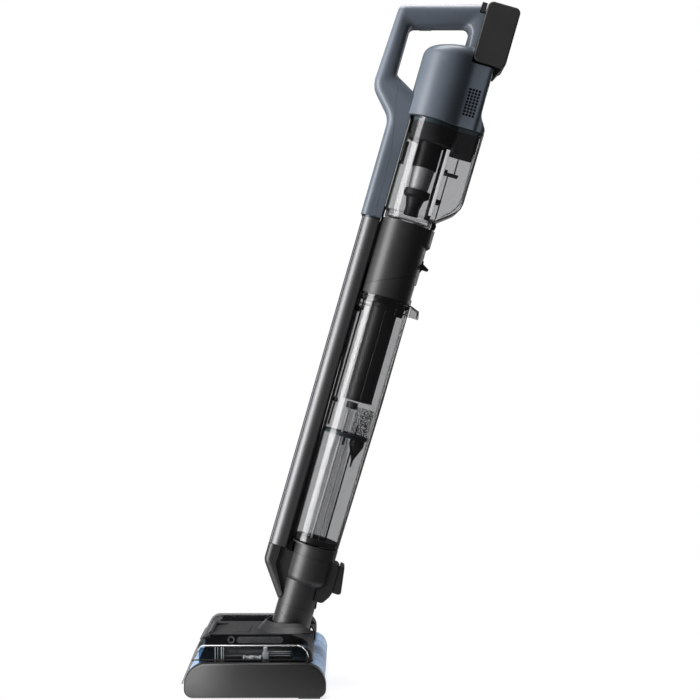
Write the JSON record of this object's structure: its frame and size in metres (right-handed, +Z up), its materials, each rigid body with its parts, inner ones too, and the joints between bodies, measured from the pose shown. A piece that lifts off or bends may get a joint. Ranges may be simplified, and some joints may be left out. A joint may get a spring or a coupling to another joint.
{
  "type": "wet dry floor scrubber",
  "caption": "Upright cordless floor scrubber: roller head, leaning spine with a clear dirty-water tank, and a hand-held vacuum with grip, dust cup and battery.",
  "frame": {"origin": "on the floor, under the centre of the bounding box", "axes": "+Z up, -X towards the front of the floor head, +X towards the user, +Y across the machine"},
  "size_m": [0.5264, 0.284, 1.0811],
  "materials": {
    "blue_grey_plastic": "satin moulded",
    "dark_grey_plastic": "satin moulded",
    "spine_metal": "brushed, dark anodised",
    "strip_metal": "brushed bright",
    "black_plastic": "matt",
    "clear_plastic": "clear, polished",
    "smoke_plastic": "smoked clear",
    "steel": "brushed",
    "pin_steel": "ground",
    "mesh_steel": "fine mesh",
    "rubber": "matt",
    "fleece": "soft light blue pile",
    "battery_plastic": "matt textured",
    "contact_brass": "plated",
    "filter_cloth": "pleated"
  },
  "bodies": {
    "head": {"head_chassis": "black_plastic", "head_top_cover": "dark_grey_plastic", "clear_cover": "clear_plastic", "water_rails": "strip_metal", "far_end_cap": "dark_grey_plastic", "front_roller_motor": "steel", "rear_roller_motor": "steel", "suction_duct": "black_plastic", "front_scrapers": "rubber", "rear_scrapers": "rubber", "tilt_pins": "pin_steel"},
    "roller_button": {"roller_release_button": "dark_grey_plastic"},
    "cassette": {"near_end_cap": "dark_grey_plastic"},
    "front_roller": {"front_roller_core": "black_plastic", "front_roller_sleeve": "fleece", "front_roller_coupler": "black_plastic"},
    "rear_roller": {"rear_roller_core": "black_plastic", "rear_roller_sleeve": "fleece", "rear_roller_coupler": "black_plastic"},
    "yoke": {"tilt_yoke": "dark_grey_plastic"},
    "neck": {"swivel_neck": "dark_grey_plastic"},
    "lower_body": {"lower_housing": "dark_grey_plastic", "elbow_cover": "dark_grey_plastic", "spine_column": "spine_metal", "spine_front_strip": "strip_metal", "spine_end_ring": "spine_metal", "tank_rest": "black_plastic", "dock_block": "black_plastic", "dock_contacts": "black_plastic", "upper_housing": "dark_grey_plastic"},
    "head_button": {"head_release_button": "dark_grey_plastic"},
    "tank": {"tank_shell": "clear_plastic", "tank_lid": "dark_grey_plastic", "tank_foot": "dark_grey_plastic", "tank_foot_seal": "rubber", "tank_riser": "dark_grey_plastic", "air_duct": "dark_grey_plastic", "mesh_cup": "mesh_steel", "separator_plate": "blue_grey_plastic", "deflector_cone": "blue_grey_plastic", "level_probe": "steel"},
    "tank_lever": {"tank_release_lever": "black_plastic"},
    "hand_unit": {"handle_frame": "blue_grey_plastic", "motor_housing": "blue_grey_plastic", "suction_motor": "steel", "dust_cup": "clear_plastic", "cup_lid": "clear_plastic", "pre_filter": "filter_cloth", "filter_ring": "smoke_plastic", "cyclone_body": "black_plastic", "mesh_cone": "mesh_steel", "dust_funnel": "black_plastic", "inlet_pipe": "clear_plastic"},
    "fan": {"impeller": "black_plastic"},
    "trigger_body": {"trigger": "blue_grey_plastic"},
    "battery": {"battery_pack": "battery_plastic"},
    "battery_button": {"battery_release_button": "black_plastic"},
    "cup_latch_body": {"cup_latch": "black_plastic"}
  },
  "joints": [
    {"name": "neck_tilt", "type": "hinge", "parent": "head", "child": "yoke", "pos_m": [-0.10598, 0, 0.072], "axis": [0, 1, 0], "range_deg": [-16, 50]},
    {"name": "neck_swivel", "type": "hinge", "parent": "yoke", "child": "neck", "pos_m": [-0.09992, 0, 0.09315], "axis": [0.7069, 0, 0.7073], "range_deg": [-35, 35]},
    {"name": "head_release_slide", "type": "slide", "parent": "neck", "child": "lower_body", "axis": [0.2756, 0, 0.9613], "range_m": [0, 0.05]},
    {"name": "head_button_press", "type": "slide", "parent": "lower_body", "child": "head_button", "axis": [-0.9613, 0, 0.2756], "range_m": [0, 0.001], "stiffness_N_per_m": 400, "springref_m": -0.001},
    {"name": "tank_slide_out", "type": "slide", "parent": "lower_body", "child": "tank", "axis": [0.9613, 0, -0.2756], "range_m": [0, 0.13]},
    {"name": "tank_lever_swing", "type": "hinge", "parent": "lower_body", "child": "tank_lever", "pos_m": [0.10733, 0, 0.66643], "axis": [0, -1, 0], "range_deg": [0, 25], "stiffness_Nm_per_rad": 0.2, "springref_deg": -5.73},
    {"name": "hand_unit_lift", "type": "slide", "parent": "lower_body", "child": "hand_unit", "axis": [0.2756, 0, 0.9613], "range_m": [0, 0.15]},
    {"name": "fan_spin", "type": "hinge", "parent": "hand_unit", "child": "fan", "pos_m": [0.13224, 0, 0.90459], "axis": [0.2756, 0, 0.9613], "continuous": true},
    {"name": "trigger_press", "type": "slide", "parent": "hand_unit", "child": "trigger_body", "axis": [0, 0, 1], "range_m": [0, 0.0015], "stiffness_N_per_m": 300, "springref_m": -0.001},
    {"name": "battery_slide_out", "type": "slide", "parent": "hand_unit", "child": "battery", "axis": [0.2756, 0, 0.9613], "range_m": [0, 0.1]},
    {"name": "battery_button_press", "type": "slide", "parent": "hand_unit", "child": "battery_button", "axis": [-0.2756, 0, -0.9613], "range_m": [0, 0.0015], "stiffness_N_per_m": 400, "springref_m": -0.001},
    {"name": "cup_latch_press", "type": "slide", "parent": "hand_unit", "child": "cup_latch_body", "axis": [-0.2756, 0, -0.9613], "range_m": [0, 0.001], "stiffness_N_per_m": 400, "springref_m": -0.001},
    {"name": "cassette_slide_out", "type": "slide", "parent": "head", "child": "cassette", "axis": [0, -1, 0], "range_m": [0, 0.27]},
    {"name": "front_roller_spin", "type": "hinge", "parent": "cassette", "child": "front_roller", "pos_m": [-0.23068, 0, 0.025], "axis": [0, 1, 0], "continuous": true},
    {"name": "rear_roller_spin", "type": "hinge", "parent": "cassette", "child": "rear_roller", "pos_m": [-0.06968, 0, 0.025], "axis": [0, 1, 0], "continuous": true},
    {"name": "roller_button_press", "type": "slide", "parent": "head", "child": "roller_button", "axis": [0, 0, -1], "range_m": [0, 0.0015], "stiffness_N_per_m": 400, "springref_m": -0.001}
  ]
}
